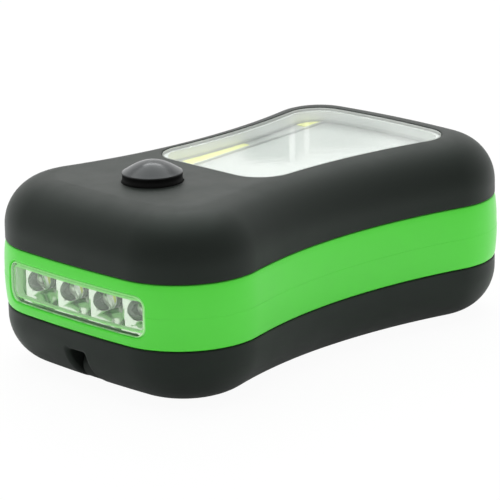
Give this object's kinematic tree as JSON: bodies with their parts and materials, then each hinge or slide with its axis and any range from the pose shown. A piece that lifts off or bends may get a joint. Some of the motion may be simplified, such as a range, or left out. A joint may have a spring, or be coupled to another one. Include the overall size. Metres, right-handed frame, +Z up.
{
  "type": "pocket led work light",
  "caption": "Palm-sized waisted LED work light with a flat top light panel, end torch window, domed push button, battery door with magnet and fold-out hook.",
  "frame": {"origin": "middle of the flat underside, on the surface that the light lies on", "axes": "+X from the torch end to the rear end, +Z up out of the light panel"},
  "size_m": [0.1158, 0.0708, 0.0487],
  "materials": {
    "soft_black": "soft-touch charcoal black, fine matte texture",
    "lime_green": "glossy bright green",
    "clear_lens": "clear moulded plastic",
    "white_frame": "white satin plastic",
    "board_white": "white solder mask",
    "phosphor": "yellow phosphor over the lit strip",
    "button_rubber": "semi-gloss black rubber",
    "switch_black": "black moulded plastic",
    "plunger_white": "white moulded plastic",
    "board_green": "green solder mask",
    "bright_chrome": "vacuum metallised plastic",
    "magnet_nickel": "bright nickel plate",
    "screw_steel": "zinc plated steel",
    "resistor_beige": "lacquered ceramic with painted bands",
    "contact_nickel": "nickel plated spring steel",
    "spring_steel": "bright steel wire",
    "cell_sleeve": "printed metal sleeve, plain",
    "led_clear": "clear epoxy dome",
    "lead_red": "red insulation",
    "lead_black": "black insulation"
  },
  "bodies": {
    "casing": {"top_cover": "soft_black", "middle_band": "lime_green", "bottom_cover": "soft_black", "case_screw_1": "screw_steel", "case_screw_2": "screw_steel", "case_screw_3": "screw_steel", "case_screw_4": "screw_steel", "panel_lens": "clear_lens", "panel_reflector": "white_frame", "panel_led_board": "board_white", "led_strip_left": "phosphor", "led_strip_right": "phosphor", "panel_board_screw_1": "screw_steel", "panel_board_screw_2": "screw_steel", "panel_board_screw_3": "screw_steel", "panel_board_screw_4": "screw_steel", "switch_housing": "switch_black", "switch_board": "board_green", "switch_board_screw_1": "screw_steel", "switch_board_screw_2": "screw_steel", "resistor_1": "resistor_beige", "resistor_2": "resistor_beige", "torch_lens": "clear_lens", "torch_reflector": "bright_chrome", "torch_board": "board_green", "torch_led_1": "led_clear", "torch_led_2": "led_clear", "torch_led_3": "led_clear", "torch_led_4": "led_clear", "torch_board_screw_1": "screw_steel", "torch_board_screw_2": "screw_steel", "cell_1": "cell_sleeve", "cell_2": "cell_sleeve", "cell_3": "cell_sleeve", "contact_positive": "contact_nickel", "contact_front_bridge": "contact_nickel", "contact_rear_bridge": "contact_nickel", "contact_negative": "contact_nickel", "contact_spring_1": "spring_steel", "contact_spring_2": "spring_steel", "contact_spring_3": "spring_steel", "hook_pin": "screw_steel", "lead_battery_positive": "lead_red", "lead_battery_negative": "lead_black", "lead_torch_positive": "lead_red", "lead_panel_positive": "lead_red", "lead_torch_negative": "lead_black", "lead_panel_negative": "lead_black"},
    "button": {"push_button": "button_rubber", "switch_plunger": "plunger_white"},
    "door": {"battery_door": "soft_black", "magnet": "magnet_nickel"},
    "hook": {"hook": "soft_black"}
  },
  "joints": [
    {"name": "button_press", "type": "slide", "parent": "casing", "child": "button", "axis": [0, 0, -1], "range_m": [0, 0.0015], "stiffness_N_per_m": 1500, "springref_m": -0.0005},
    {"name": "door_hinge", "type": "hinge", "parent": "casing", "child": "door", "pos_m": [0.043, 0, 0], "axis": [0, -1, 0], "range_deg": [0, 80]},
    {"name": "hook_hinge", "type": "hinge", "parent": "casing", "child": "hook", "pos_m": [-0.0495, 0, 0.0046], "axis": [0, 1, 0], "range_deg": [0, 180]}
  ]
}
